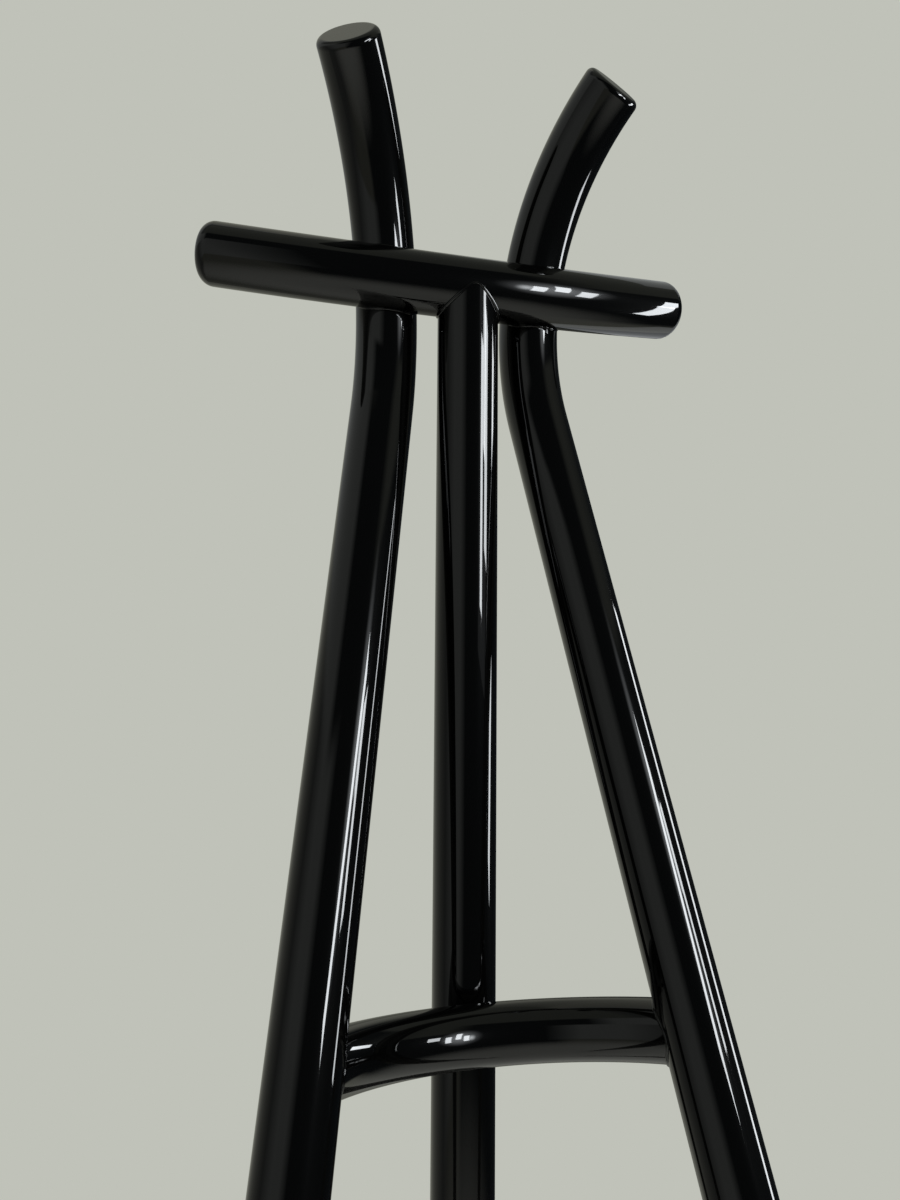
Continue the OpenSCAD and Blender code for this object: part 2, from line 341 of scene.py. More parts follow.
dowelWood = {
    "pale": "#D3B08A",          # steamed beech, a pinkish tan
    "deep": "#B88D66",          # the denser wood at the end of each year
    "fleck": "#85573A",         # ray flecks, short brown spindles
    "ring": 0.0022,             # years about 2 mm apart
    "ringSpan": (0.38, 0.62),   # values of the noise between which pale turns deep
    "fibre": 0.0005,            # fibres are 0.02 mm wide, drawn coarser to show
    "fleckWidth": 0.0009,       # rays are 0.3 mm wide, drawn coarser to show
    "fleckSpan": (0.10, 0.24),  # a fleck's solid core and its outer rim, in fleck widths
    "fleckShare": 0.75,
    "drawn": 0.15,              # across-grain over along-grain size
    "ior": 1.5,
    "rough": (0.50, 0.68),
    "relief": 0.00003,
}


def makeTurnedBeech(word, along):
    # Bare turned beech, kept matt for the glue: tan, with fine fibres and brown flecks
    f = dowelWood
    material, tree, place = newMaterial("turned_beech_" + word)
    run = addNode(tree, "VectorMath", {0: place, 1: along}, operation="DOT_PRODUCT")
    shrink = addNode(tree, "VectorMath", {0: (f["drawn"] - 1) * along,
                                          "Scale": run.outputs["Value"]}, operation="SCALE")
    grain = addNode(tree, "VectorMath", {0: place, 1: shrink.outputs["Vector"]},
                    operation="ADD").outputs["Vector"]
    years = addNode(tree, "TexNoise", {"Vector": grain, "Scale": 1 / f["ring"], "Detail": 2})
    yearTone = addNode(tree, "ValToRGB", {"Fac": years.outputs["Fac"]})
    setStops(yearTone, [(f["ringSpan"][0], paint(f["pale"])),
                        (f["ringSpan"][1], paint(f["deep"]))])
    rays = addNode(tree, "TexVoronoi", {"Vector": grain, "Scale": 1 / f["fleckWidth"]})
    flecks = addNode(tree, "MapRange", {
        "Value": rays.outputs["Distance"],
        "From Min": f["fleckSpan"][0], "From Max": f["fleckSpan"][1],
        "To Min": f["fleckShare"], "To Max": 0.0})
    tone = addNode(tree, "MixRGB", {"Fac": flecks.outputs["Result"],
                                    "Color1": yearTone.outputs["Color"],
                                    "Color2": paint(f["fleck"])})
    fibres = addNode(tree, "TexNoise", {"Vector": grain, "Scale": 1 / f["fibre"], "Detail": 2})
    rough = addNode(tree, "MapRange", {"Value": fibres.outputs["Fac"], "To Min": f["rough"][0],
                                       "To Max": f["rough"][1]})
    relief = addNode(tree, "Bump", {"Height": fibres.outputs["Fac"], "Distance": f["relief"]})
    shader = addNode(tree, "BsdfPrincipled", {
        "Base Color": tone.outputs["Color"], "Roughness": rough.outputs["Result"],
        "IOR": f["ior"], "Normal": relief.outputs["Normal"]})
    addNode(tree, "OutputMaterial", {"Surface": shader.outputs["BSDF"]})
    return material


boltPlate = {
    "bright": "#D0D4D8",        # clear-passivated zinc, cool and faintly blue
    "dull": "#ADB0AE",          # where the bath left it greyer
    "cloud": 0.003,             # clouds of the bath, about 3 mm across
    "toneSpan": (0.35, 0.68),   # values of the noise between which bright turns dull
    "roughSpan": (0.3, 0.7),
    "grain": 0.0004,            # plated grain is 0.02 mm, drawn coarser to show
    "rough": (0.20, 0.38),
    "relief": 0.000005,
}


def makeZincPlate():
    # Zinc-plated steel: a bright cool metal with cloudy patches and a satin grain
    f = boltPlate
    material, tree, place = newMaterial("zinc_plated_steel")
    clouds = addNode(tree, "TexNoise", {"Vector": place, "Scale": 1 / f["cloud"], "Detail": 3})
    tone = addNode(tree, "ValToRGB", {"Fac": clouds.outputs["Fac"]})
    setStops(tone, [(f["toneSpan"][0], paint(f["bright"])), (f["toneSpan"][1], paint(f["dull"]))])
    rough = addNode(tree, "MapRange", {
        "Value": clouds.outputs["Fac"],
        "From Min": f["roughSpan"][0], "From Max": f["roughSpan"][1],
        "To Min": f["rough"][0], "To Max": f["rough"][1]})
    grain = addNode(tree, "TexNoise", {"Vector": place, "Scale": 1 / f["grain"], "Detail": 2})
    relief = addNode(tree, "Bump", {"Height": grain.outputs["Fac"], "Distance": f["relief"]})
    shader = addNode(tree, "BsdfPrincipled", {
        "Base Color": tone.outputs["Color"], "Metallic": 1.0,
        "Roughness": rough.outputs["Result"], "Normal": relief.outputs["Normal"]})
    addNode(tree, "OutputMaterial", {"Surface": shader.outputs["BSDF"]})
    return material


insertBrass = {
    "bright": "#DCC07C",        # freshly cut brass
    "dull": "#AE8C4C",          # where it has begun to tarnish
    "cloud": 0.005,
    "toneSpan": (0.40, 0.72),   # values of the noise between which bright turns dull
    "feed": 0.0005,             # feed marks of the lathe are 0.1 mm apart, drawn coarser
    "waver": 1.5,               # how far the feed marks stray from true rings
    "rough": (0.22, 0.40),
    "relief": 0.000008,
}


def makeTurnedBrass():
    # Brass turned on a lathe: warm yellow metal with fine rings round its axis
    f = insertBrass
    material, tree, place = newMaterial("turned_brass")
    clouds = addNode(tree, "TexNoise", {"Vector": place, "Scale": 1 / f["cloud"], "Detail": 3})
    tone = addNode(tree, "ValToRGB", {"Fac": clouds.outputs["Fac"]})
    setStops(tone, [(f["toneSpan"][0], paint(f["bright"])), (f["toneSpan"][1], paint(f["dull"]))])
    rings = addNode(tree, "TexWave", {  # at scale 1 its bands are pi / 10 apart
        "Vector": place, "Scale": pi / 10 / f["feed"], "Distortion": f["waver"], "Detail": 1},
        bands_direction="Y")
    rough = addNode(tree, "MapRange", {"Value": rings.outputs["Fac"], "To Min": f["rough"][0],
                                       "To Max": f["rough"][1]})
    relief = addNode(tree, "Bump", {"Height": rings.outputs["Fac"], "Distance": f["relief"]})
    shader = addNode(tree, "BsdfPrincipled", {
        "Base Color": tone.outputs["Color"], "Metallic": 1.0,
        "Roughness": rough.outputs["Result"], "Normal": relief.outputs["Normal"]})
    addNode(tree, "OutputMaterial", {"Surface": shader.outputs["BSDF"]})
    return material


glideNylon = {
    "colour": "#242527",        # carbon-black pigment, a shade paler than the lacquer
    "scuffed": "#55565A",       # paler where the floor has rubbed it
    "scuffHeight": 0.0016,
    "spark": 0.0009,            # grain of a spark-eroded mould is 0.2 mm, drawn coarser
    "ior": 1.53,
    "rough": (0.36, 0.54),
    "relief": 0.00002,
}


def makeMouldedNylon():
    # Injection-moulded nylon: satin black with a leathery mould grain and a scuffed rim
    f = glideNylon
    material, tree, place = newMaterial("moulded_nylon")
    grain = addNode(tree, "TexNoise", {"Vector": place, "Scale": 1 / f["spark"], "Detail": 2})
    height = addNode(tree, "SeparateXYZ", {"Vector": place}).outputs["Z"]
    low = addNode(tree, "MapRange", {"Value": height, "From Min": 0.0,
                                     "From Max": f["scuffHeight"], "To Min": 1.0, "To Max": 0.0})
    scuffs = addNode(tree, "Math", {0: low.outputs["Result"], 1: grain.outputs["Fac"]},
                     operation="MULTIPLY")
    tone = addNode(tree, "MixRGB", {"Fac": scuffs.outputs[0], "Color1": paint(f["colour"]),
                                    "Color2": paint(f["scuffed"])})
    rough = addNode(tree, "MapRange", {"Value": grain.outputs["Fac"], "To Min": f["rough"][0],
                                       "To Max": f["rough"][1]})
    relief = addNode(tree, "Bump", {"Height": grain.outputs["Fac"], "Distance": f["relief"]})
    shader = addNode(tree, "BsdfPrincipled", {
        "Base Color": tone.outputs["Color"], "Roughness": rough.outputs["Result"],
        "IOR": f["ior"], "Normal": relief.outputs["Normal"]})
    addNode(tree, "OutputMaterial", {"Surface": shader.outputs["BSDF"]})
    return material


blackLacquer = makeBlackLacquer()
zincPlate = makeZincPlate()
turnedBrass = makeTurnedBrass()
mouldedNylon = makeMouldedNylon()
print("materials made")


# Where the feet stand and where the origin lies

feet = {
    "frontBack": -0.162923, "rearBack": 0.261028,  # how far behind the bar's middle they stand
    "glideHeight": 0.006,                          # the wood ends level on its glides
    "past": 0.02,                                  # a member runs this far below the floor
    "block": 0.2,                                  # depth of the block that cuts it level
}
originBack = Vector((0, (feet["frontBack"] + feet["rearBack"]) / 2, 0))


# Crossbar, a bowed bar with rounded ends

crossbar = {
    "height": 1.600,     # of the middle of its axis
    "length": 0.372,     # along its axis
    "slide": -0.006,     # along its bow to the right, so here it is slid to the left
    "radius": 0.0225,
    "bowRadius": 0.505,
    "bowTilt": 35,       # 0 bends the tips straight back, 90 straight up
    "edge": 0.010,       # rounding of the ends
    "roundStart": True, "roundEnd": True,
}
bowTilt = radians(crossbar["bowTilt"])
bowHalf = (crossbar["length"] / 2 - crossbar["edge"]) / crossbar["bowRadius"]
bowSlide = crossbar["slide"] / crossbar["bowRadius"]
bowIn = Vector((0, cos(bowTilt), sin(bowTilt)))
barMiddle = Vector((0, 0, crossbar["height"])) - originBack
crossbar["path"] = [arc(barMiddle + crossbar["bowRadius"] * bowIn, -bowIn, Vector((1, 0, 0)),
                        crossbar["bowRadius"], bowSlide - bowHalf, bowSlide + bowHalf)]
crossbar["guide"] = Vector((0, -sin(bowTilt), cos(bowTilt)))


# Side legs, straight shanks that bend on into horns

sideLeg = {
    "radius": 0.0225,
    "bendSide": 0.060,   # the right leg's bend begins this far from the middle,
    "bendBack": 0.030,   # this far behind the crossbar's middle
    "bendDrop": 0.088,   # and this far below it
    "splayOut": 8.2, "splayFront": 7.3,  # outward and forward slant of the shank
    "bendRadius": 0.220,
    "bendAngle": 68.6,
    "bendTurn": 61.5,    # 0 bends the horn straight outward, 90 straight to the front
    "edge": 0.005,       # rounding of the horn's end
    "roundStart": False, "roundEnd": True,
}
splayOut, splayFront, bendTurn = (radians(sideLeg[k])
                                  for k in ("splayOut", "splayFront", "bendTurn"))
shankUp = Vector((-sin(splayOut), sin(splayFront) * cos(splayOut),
                  cos(splayFront) * cos(splayOut)))
bendIn = Vector((
    cos(bendTurn) * cos(splayOut),
    cos(bendTurn) * sin(splayFront) * sin(splayOut) - sin(bendTurn) * cos(splayFront),
    cos(bendTurn) * cos(splayFront) * sin(splayOut) + sin(bendTurn) * sin(splayFront)))
bendStart = Vector((sideLeg["bendSide"], sideLeg["bendBack"],
                    crossbar["height"] - sideLeg["bendDrop"])) - originBack


def alongShank(z):
    return bendStart + (z - bendStart.z) / shankUp.z * shankUp


def mirrored(v, side):
    return Vector((v.x * side, v.y, v.z))


def legForSide(side):
    leg = dict(sideLeg)
    bendCentre = bendStart + leg["bendRadius"] * bendIn
    leg["path"] = [
        straight(mirrored(alongShank(-feet["past"]), side), mirrored(bendStart, side)),
        arc(mirrored(bendCentre, side), mirrored(-bendIn, side), mirrored(shankUp, side),
            leg["bendRadius"], 0.0, radians(leg["bendAngle"]))]
    leg["guide"] = mirrored(shankUp.cross(bendIn), side)
    return leg


# Stretcher, an arch from shank to shank

stretcher = {
    "drop": 0.520,       # of its axis below the crossbar's middle
    "archRadius": 0.141,
    "radius": 0.020,
    "edge": 0.0,
    "roundStart": False, "roundEnd": False,
}
stretcherEnd = alongShank(crossbar["height"] - stretcher["drop"])
archHalf = asin(stretcherEnd.x / stretcher["archRadius"])
archCentre = Vector((0, stretcherEnd.y - stretcher["archRadius"] * cos(archHalf),
                     stretcherEnd.z))
stretcher["path"] = [arc(archCentre, Vector((0, 1, 0)), Vector((1, 0, 0)),
                         stretcher["archRadius"], -archHalf, archHalf)]
stretcher["guide"] = Vector((0, 0, 1))


# Rear leg, straight and coped to the crossbar

rearLeg = {
    "radius": 0.0222,    # a shade thinner, so that its cope dies into the crossbar
    "lean": 9.3,         # backward slant
    "edge": 0.0,
    "roundStart": False, "roundEnd": False,
}
rearAhead = Vector((0, sin(radians(rearLeg["lean"])), -cos(radians(rearLeg["lean"]))))
rearEnd = barMiddle + (crossbar["height"] + feet["past"]) / -rearAhead.z * rearAhead
rearLeg["path"] = [straight(barMiddle, rearEnd)]
rearLeg["guide"] = Vector((1, 0, 0))


# Bolts, plugs and dowels that the members are bored for

boring = {
    "glueGap": 0.00015,                          # in every saddle
    "plugRadius": 0.0075,                        # of the counterbore for a plug
    "boltRadius": 0.00325,                       # of a bolt's hole
    "boltReach": 0.080,                          # both run this far from the bolt's seat
    "overlap": 0.001,                            # of the bolt's hole with the counterbore
    "sideLapWall": 0.012, "rearLapWall": 0.026,  # wood between a saddle and a seat
    "insertRadius": 0.00505, "insertDepth": 0.0165,
    "insertRun": 0.05,                           # the hole is cut from this far out
    "dowelRadius": 0.0061, "dowelLength": 0.048,
    "dowelEntry": 0.017,                         # how deep it enters a side leg or the bar
    "dowelEndRoom": 0.0006,                      # for glue
    "pilotRadius": 0.002, "pilotTop": 0.027,     # of the hole for a glide's screw
    "pilotBottom": -0.01,
    "lapSide": 0.056030,                         # from the middle to where leg and bar cross
}
back = Vector((0, 1, 0))
lapBow = asin(boring["lapSide"] / crossbar["bowRadius"])
lapPoint = pathPoint(crossbar["path"][0], lapBow)[0]
sideSaddle = lapPoint + crossbar["radius"] * back
rearSaddle = archCentre + (stretcher["archRadius"] + stretcher["radius"]) * back
sideSeat = sideSaddle + (boring["glueGap"] + boring["sideLapWall"]) * back
rearSeat = rearSaddle + (boring["glueGap"] + boring["rearLapWall"]) * back
dowelFar = sideLeg["radius"] - boring["dowelEntry"] + boring["dowelLength"]
dowelTurn = archHalf - dowelFar / stretcher["archRadius"] / 2
dowelAlong = Vector((-cos(dowelTurn), sin(dowelTurn), 0))


def boltCutters(seat):
    return [drill(seat, seat + boring["boltReach"] * back, boring["plugRadius"]),
            drill(seat - boring["boltReach"] * back, seat + boring["overlap"] * back,
                  boring["boltRadius"])]


def insertCutter(saddle):
    return drill(saddle - boring["insertDepth"] * back, saddle + boring["insertRun"] * back,
                 boring["insertRadius"])


def dowelCutter(start, along):
    near = sideLeg["radius"] - boring["dowelEntry"] - boring["dowelEndRoom"]
    length = boring["dowelLength"] + 2 * boring["dowelEndRoom"]
    return drill(start + near * along, start + (near + length) * along, boring["dowelRadius"])


def stretcherDowelCutter(side):
    return dowelCutter(mirrored(stretcherEnd, side), mirrored(dowelAlong, side))


def footCutters(member):
    # A drill for the glide's screw and a block that cuts the foot level
    part = member["path"][0]
    down = (feet["glideHeight"] - part["start"].z) / part["ahead"].z
    foot = pathPoint(part, down)[0]

    def at(z, x=0, y=0):
        return Vector((foot.x + x, foot.y + y, z))

    low, high = -feet["block"], feet["glideHeight"]
    corners = ((-1, -1), (1, -1), (1, 1), (-1, 1))
    block = closedMesh("cutter", [[at(low)], [at(low, x, y) for x, y in corners],
                                  [at(high, x, y) for x, y in corners], [at(high)]])
    return [drill(at(boring["pilotBottom"]), at(boring["pilotTop"]), boring["pilotRadius"]),
            block]


# The members, cut and lacquered; each stands for its solid

def lacquerPiece(piece, *nodes):
    wear(piece, blackLacquer)
    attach(piece, "root")
    if nodes:
        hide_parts(*nodes)


def makeMember(name, member, cutters, node):
    piece = roundMember(name, member)
    carve(piece, cutters)
    polish(piece, member)
    lacquerPiece(piece, node)


sideNames = {-1: "left", 1: "right"}
legs = {}
for side, word in sideNames.items():
    legs[side] = legForSide(side)
    makeMember("leg_" + word, legs[side],
               [memberCutter(crossbar), *boltCutters(mirrored(sideSeat, side)),
                stretcherDowelCutter(side), *footCutters(legs[side])], "side_leg_" + word)
print("side legs bent and bored")

makeMember("leg_rear", rearLeg,
           [memberCutter(crossbar), memberCutter(stretcher), *boltCutters(rearSeat),
            dowelCutter(barMiddle, rearAhead), *footCutters(rearLeg)], "rear_leg")
makeMember("bar_bowed", crossbar,
           [insertCutter(mirrored(sideSaddle, side)) for side in sideNames]
           + [dowelCutter(barMiddle, rearAhead)], "crossbar")
cutters = [insertCutter(rearSaddle)]
for side in sideNames:
    cutters += [memberCutter(legs[side]), stretcherDowelCutter(side)]
makeMember("stretcher_arch", stretcher, cutters, "stretcher")
print("rear leg, crossbar and stretcher coped")


# Beads of lacquer squeezed and pooled along the joints

bead = {
    "cope": 0.0016, "lap": 0.0010,    # radius at a cope and at a lap
    "thinnest": 0.45,                 # share of the radius left where two skins run level
    "uneven": 0.25, "swells": 90,     # it swells and thins by a quarter, about every 11 mm
    "step": 0.0012, "segments": 12,
    "rounds": 12,                     # that bring a point onto the joint
    "least": 0.02,                    # keeps a round short where two skins run level
    "level": 0.000001,                # sine of the angle at which they count as level
    "fewest": 20, "most": 2000,       # steps along a joint
    "close": 0.8,                     # share of a step within which the line has come round
}


def settle(a, b, p):
    # Brings a point onto the line where two skins meet
    for _ in range(bead["rounds"]):
        da, db = skinDistance(a, p), skinDistance(b, p)
        na, nb = skinNormal(a, p), skinNormal(b, p)
        c = na.dot(nb)
        spread = max(1 - c * c, bead["least"])
        p = p + ((c * db - da) * na + (c * da - db) * nb) / spread
    return p


def jointLine(a, b, near):
    line = [settle(a, b, near)]
    heading = None
    for _ in range(bead["most"]):
        p = line[-1]
        tangent = skinNormal(a, p).cross(skinNormal(b, p))
        if tangent.length < bead["level"]:
            tangent = heading  # the line goes straight on
        tangent.normalize()
        if heading and tangent.dot(heading) < 0:
            tangent = -tangent
        heading = tangent
        line.append(settle(a, b, p + bead["step"] * tangent))
        gap = (line[-1] - line[0]).length
        if len(line) > bead["fewest"] and gap < bead["step"] * bead["close"]:
            return line[:-1]
    print("joint line left open")
    return line


def beadAlong(name, radius, a, b, near):
    # near is any point close to the joint
    line = jointLine(a, b, near)
    rings = []
    for k, p in enumerate(line):
        ahead = (line[(k + 1) % len(line)] - line[k - 1]).normalized()
        out = (skinNormal(a, p) + skinNormal(b, p)).normalized()
        swell = 1 + bead["uneven"] * noise.noise(p * bead["swells"])
        corner = sqrt(max(0.0, 1 - skinNormal(a, p).dot(skinNormal(b, p)) ** 2))
        thick = radius * swell * (bead["thinnest"] + (1 - bead["thinnest"]) * corner)
        rings.append(circleAround(p, ahead, out, thick, bead["segments"]))
    piece = closedMesh(name, rings, looped=True)
    shadeSmooth(piece.data)
    lacquerPiece(piece)


for side, word in sideNames.items():
    beadAlong("bead_lap_" + word, bead["lap"], legs[side], crossbar,
              mirrored(lapPoint + Vector((0, 0, crossbar["radius"])), side))
    beadAlong("bead_stretcher_" + word, bead["cope"], stretcher, legs[side],
              mirrored(stretcherEnd + Vector((-0.02, 0, 0.02)), side))
beadAlong("bead_cope", bead["cope"], rearLeg, crossbar,
          barMiddle + Vector((rearLeg["radius"], 0, -0.01)))
beadAlong("bead_rear_lap", bead["lap"], rearLeg, stretcher,
          rearSaddle + Vector((0, -0.01, 0.02)))
print("beads laid along six joints")


# Plugs, bolts, inserts, dowels and glides keep their own solids and get real finishes

def dress(material, *nodes):
    for name in nodes:
        wear(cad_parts[name], material)


dress(blackLacquer, "bolt_plug_left", "bolt_plug_right", "bolt_plug_rear")
dress(zincPlate, "side_lap_bolts", "rear_lap_bolt", "glide_screws")
dress(turnedBrass, "lap_inserts")
dress(mouldedNylon, "glide_left", "glide_right", "glide_rear")
dress(makeTurnedBeech("rear", rearAhead), "rear_leg_dowel")
for side, word in sideNames.items():
    dress(makeTurnedBeech(word, mirrored(dowelAlong, side)), "stretcher_dowel_" + word)
print("fastenings finished")


# Floor, a pale disc that fades into the background

floorDisc = {
    "solid": 0.7, "radius": 2.1,  # whole out to here, and gone at its rim
    "rings": 16, "segments": 96,
    "drop": 0.0003,               # just below the glides
    "colour": "#D5D5D3",
    "rough": 0.6,
    "marks": 60,                  # noise scale for roller marks about 17 mm long
    "relief": 0.0002,
}


def makeFloor():
    # Rolled matt paint: pale and even, with the faint mottle of the roller
    f = floorDisc
    middle, up, guide = Vector((0, 0, -f["drop"])), Vector((0, 0, 1)), Vector((1, 0, 0))
    floor = closedMesh("floor", [[middle]] + [
        circleAround(middle, up, guide, f["radius"] * k / f["rings"], f["segments"])
        for k in range(1, f["rings"] + 1)])
    material, tree, place = newMaterial("matt_floor_paint")
    marks = addNode(tree, "TexNoise", {"Vector": place, "Scale": f["marks"], "Detail": 4})
    relief = addNode(tree, "Bump", {"Height": marks.outputs["Fac"], "Distance": f["relief"]})
    shader = addNode(tree, "BsdfPrincipled", {
        "Base Color": paint(f["colour"]), "Roughness": f["rough"],
        "Normal": relief.outputs["Normal"]})
    clear = addNode(tree, "BsdfTransparent")
    reach = addNode(tree, "VectorMath", {"Vector": place}, operation="LENGTH")
    fade = addNode(tree, "MapRange", {
        "Value": reach.outputs["Value"], "From Min": f["solid"], "From Max": f["radius"]},
        interpolation_type="SMOOTHSTEP")
    mix = addNode(tree, "MixShader", {"Fac": fade.outputs["Result"], 1: shader.outputs["BSDF"],
                                      2: clear.outputs["BSDF"]})
    addNode(tree, "OutputMaterial", {"Surface": mix.outputs["Shader"]})
    floor.data.materials.append(material)
    return floor


makeFloor()


# The room: pale walls behind and to the left, a dim side towards the camera

room = {
    "backdrop": "#C0C2B9",
    "leftWall": "#989B98",
    "backWall": "#A6A79B",
    "halfShade": "#7E7F75",
    "corner": "#606260",     # where the two walls meet
    "ceiling": "#74776F",
    "gloom": "#2C3032",      # the side behind the camera
    "dark": "#202427",
    "blend": 0.03,           # half of the height over which one band turns into the next
    "bands": [               # lower edge as a sine of the elevation, then azimuth and tone
        (-1.0, [(-157, "gloom"), (-146, "halfShade"), (-115, "halfShade"), (-88, "corner"),
                (20, "halfShade"), (40, "backWall"), (62, "backWall"), (77, "gloom")]),
        (-0.42, [(-163, "gloom"), (-143, "leftWall"), (-118, "leftWall"), (-88, "corner"),
                 (-18, "backWall"), (-2, "backWall"), (14, "halfShade"), (27, "dark"),
                 (98, "dark"), (120, "gloom")]),
        (0.42, [(-137, "gloom"), (-120, "leftWall"), (-20, "leftWall"), (0, "backWall"),
                (24, "backWall"), (36, "gloom"), (75, "gloom"), (120, "ceiling"),
                (135, "ceiling"), (152, "gloom")]),
        (0.71, [(-110, "ceiling"), (-97, "corner"), (-80, "corner"), (-65, "leftWall"),
                (-20, "backWall"), (10, "backWall"), (34, "ceiling")])],
}


def makeWorld():
    # The camera sees the pale backdrop all round, and matt surfaces are lit evenly by it.
    # Mirror-like and see-through rays see the room, with walls a shade deeper than that.
    world = bpy.data.worlds.new("studio")
    world.use_nodes = True
    scene.world = world
    tree = world.node_tree
    tree.nodes.clear()
    place = addNode(tree, "TexCoord").outputs["Generated"]
    apart = addNode(tree, "SeparateXYZ", {"Vector": place})
    azimuth = addNode(tree, "Math", {0: apart.outputs["X"], 1: apart.outputs["Y"]},
                      operation="ARCTAN2")
    share = addNode(tree, "MapRange", {"Value": azimuth.outputs[0], "From Min": -pi,
                                       "From Max": pi})
    seen = None
    for edge, stops in room["bands"]:
        band = addNode(tree, "ValToRGB", {"Fac": share.outputs["Result"]})
        setStops(band, [(angle / 360 + 0.5, paint(room[tone])) for angle, tone in stops])
        if seen is None:
            seen = band.outputs["Color"]
            continue
        rise = addNode(tree, "MapRange", {
            "Value": apart.outputs["Z"], "From Min": edge - room["blend"],
            "From Max": edge + room["blend"]}, interpolation_type="SMOOTHSTEP")
        seen = addNode(tree, "MixRGB", {"Fac": rise.outputs["Result"], "Color1": seen,
                                        "Color2": band.outputs["Color"]}).outputs["Color"]
    backdrop = paint(room["backdrop"])
    path = addNode(tree, "LightPath")
    sharp = addNode(tree, "Math", {0: path.outputs["Is Glossy Ray"],
                                   1: path.outputs["Is Transmission Ray"]},
                    operation="MAXIMUM")
    around = addNode(tree, "MixRGB", {"Fac": sharp.outputs[0], "Color1": backdrop,
                                      "Color2": seen})
    whole = addNode(tree, "MixRGB", {"Fac": path.outputs["Is Camera Ray"],
                                     "Color1": around.outputs["Color"], "Color2": backdrop})
    light = addNode(tree, "Background", {"Color": whole.outputs["Color"]})
    addNode(tree, "OutputWorld", {"Surface": light.outputs["Background"]})


makeWorld()


# Windows far off to the right and behind the camera, and a soft box overhead. Azimuth 0 is
# straight behind the stand and 90 to its right, and widths and heights are angles too.

windows = {
    "aim": Vector((0.03, -0.07, 1.40)),
    "colour": (0.93, 0.97, 1.0),
    "panes": {  # azimuth, elevation, width, height, lean, distance, level, where it is seen
        "window_tall": (90.3, 4.5, 8.5, 38, -12, 5.0, 8.0, ("sides", "rear")),
        "window_left": (152.0, 2, 3.2, 16, 0, 6.0, 13.0, ("bar", "stretcher")),
        "window_middle": (147.1, 9.5, 3.4, 16.5, 0, 6.0, 13.0, ("bar", "stretcher")),
        "window_right": (141.0, 2.5, 3.7, 17, 0, 6.0, 12.0, ("bar", "stretcher")),
        "window_low": (115.3, -15.5, 5.2, 30, 18, 6.0, 13.0, ("bar",)),
        "window_low_top": (119.9, 5, 4.5, 15, 4, 6.0, 13.0, ("bar",)),
        "window_near": (140, 5, 8.5, 17, 0, 6.0, 12.0, ("rear",)),
        "window_between": (131, 14.5, 9, 14, 0, 6.0, 11.0, ("rear",)),
        "window_far": (122.5, 9.5, 11, 15, 0, 6.0, 10.0, ("rear",)),
        "window_aslant": (140.2, 8.0, 6.2, 25, -36, 6.0, 14.0, ("sides",)),
        "window_beyond": (125, 7, 6.5, 14, 0, 6.0, 12.0, ("sides",)),
        "window_gap": (129.8, 11.5, 4, 5.5, 0, 6.0, 5.0, ("sides",)),
        "window_arch": (131.5, 9, 8, 9, 0, 6.0, 9.0, ("stretcher",)),
        "window_cope": (118, 4, 44, 34, 0, 6.0, 9.0, ("cope",)),
        "window_edge": (74, 20, 17, 5, 0, 5.0, 9.0, ("stretcher",)),
        "glow_left": (155, 2, 6, 22, 0, 6.1, 6.0, ("bar", "stretcher")),
        "glow_bar": (148, 4, 29, 50, 0, 6.2, 2.3, ("bar", "stretcher")),
        "glow_legs": (136, 6, 30, 26, 0, 6.2, 0.12, ("rear",)),
        "glow_sides": (141, 12, 26, 32, 0, 6.2, 2.0, ("sides",)),
        "glow_under": (46, -8, 42, 52, 0, 2.1, 0.48, ("bar",)),
        "glow_top": (60, 50, 46, 26, 0, 3.0, 0.28, ("bar",))},
    "soft": ("glow_left", "glow_bar", "glow_sides"),  # these fade from the middle to the rim
    "seenIn": {
        "bar": ["bar_bowed"], "stretcher": ["stretcher_arch"], "cope": ["bead_cope"],
        "rear": ["leg_rear", "bead_cope", "bead_rear_lap"],
        "sides": ["leg_left", "leg_right", "bead_lap_left", "bead_lap_right",
                  "bead_stretcher_left", "bead_stretcher_right"]},
}
overhead = {"size": 2.4, "height": 3.6, "level": 2.2, "colour": (1, 1, 1)}


def aimed(azimuth, elevation):
    a, e = radians(azimuth), radians(elevation)
    return Vector((sin(a) * cos(e), cos(a) * cos(e), sin(e)))


def softBox(name, place, target, width, height, level, colour):
    lamp = bpy.data.lights.new(name, "AREA")
    lamp.shape = "RECTANGLE"
    lamp.size, lamp.size_y = width, height
    lamp.energy = level * 4 * width * height  # so that level is its brightness at any size
    lamp.color = colour
    holder = bpy.data.objects.new(name, lamp)
    holder.location = place
    holder.rotation_euler = (target - place).to_track_quat("-Z", "Y").to_euler()
    holder.visible_camera = False
    scene.collection.objects.link(holder)
    return holder


def softenRim(lamp):
    # Full in the middle and nothing at the rim, like haze round a bright window.
    # Both of a lamp's own coordinates run from 0 to 1.
    lamp.use_nodes = True
    tree = lamp.node_tree
    tree.nodes.clear()
    place = addNode(tree, "NewGeometry").outputs["Parametric"]
    apart = addNode(tree, "VectorMath", {0: place, 1: (0.5, 0.5, 0)}, operation="DISTANCE")
    fade = addNode(tree, "MapRange", {
        "Value": apart.outputs["Value"], "From Min": 0.0, "From Max": 0.5, "To Min": 1.0,
        "To Max": 0.0}, interpolation_type="SMOOTHSTEP")
    glow = addNode(tree, "Emission", {"Strength": fade.outputs["Result"]})
    addNode(tree, "OutputLight", {"Surface": glow.outputs["Emission"]})


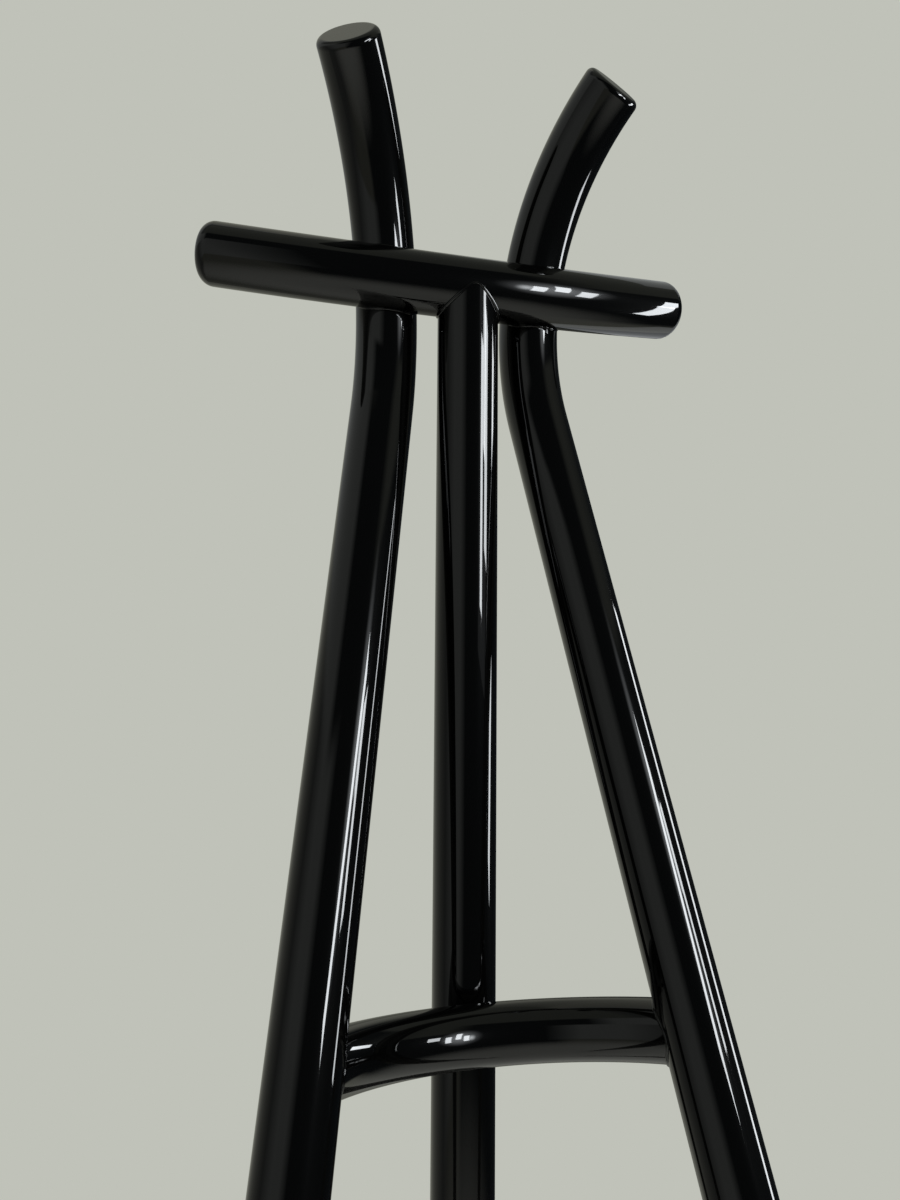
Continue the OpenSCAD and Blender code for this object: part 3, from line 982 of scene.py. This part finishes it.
def linkLight(holder, groups):
    # A window is seen only in the members that reflect it in the photograph
    lit = bpy.data.collections.new(holder.name + "_lights")
    for group in groups:
        for name in windows["seenIn"][group]:
            lit.objects.link(bpy.data.objects[name])
    holder.light_linking.receiver_collection = lit


for name, pane in windows["panes"].items():
    azimuth, elevation, width, height, lean, distance, level, groups = pane
    place = windows["aim"] + distance * aimed(azimuth, elevation)
    holder = softBox(name, place, windows["aim"], 2 * distance * tan(radians(width / 2)),
                     2 * distance * tan(radians(height / 2)), level, windows["colour"])
    holder.rotation_euler.rotate_axis("Z", radians(lean))
    linkLight(holder, groups)
    if name in windows["soft"]:
        softenRim(holder.data)
above = softBox("overhead", Vector((0, 0, overhead["height"])), Vector((0, 0, 0)),
                overhead["size"], overhead["size"], overhead["level"], overhead["colour"])
above.visible_glossy = False  # it lights matt surfaces and draws no line on the lacquer


# Camera at the photograph's place, worked out from the members' outlines

shot = {
    "place": Vector((-0.195647, -0.652361, 1.198393)),
    "turn": 0.3203, "tip": 0.2373, "roll": 0.0485,  # radians, to the right, up and clockwise
    "focal": 1027.5,                                # these three in pixels of the photograph
    "rightOfCentre": 60,
    "longSide": 1200,
    "sensor": 36,
    "nearest": 0.05,
}


def makeCamera():
    turn, tip, roll = shot["turn"], shot["tip"], shot["roll"]
    ahead = Vector((sin(turn) * cos(tip), cos(turn) * cos(tip), sin(tip)))
    side = Vector((cos(turn), -sin(turn), 0))
    down = ahead.cross(side)
    across = side * cos(roll) + down * sin(roll)
    below = down * cos(roll) - side * sin(roll)
    data = bpy.data.cameras.new("camera")
    data.sensor_width = shot["sensor"]
    data.lens = shot["focal"] / shot["longSide"] * shot["sensor"]
    data.shift_x = -shot["rightOfCentre"] / shot["longSide"]
    data.clip_start = shot["nearest"]
    camera = bpy.data.objects.new("camera", data)
    turning = Matrix((across, -below, -ahead)).transposed()
    camera.matrix_world = Matrix.Translation(shot["place"] - originBack) @ turning.to_4x4()
    scene.collection.objects.link(camera)
    scene.camera = camera


makeCamera()
scene.view_settings.view_transform = "Standard"
print("studio and camera set")
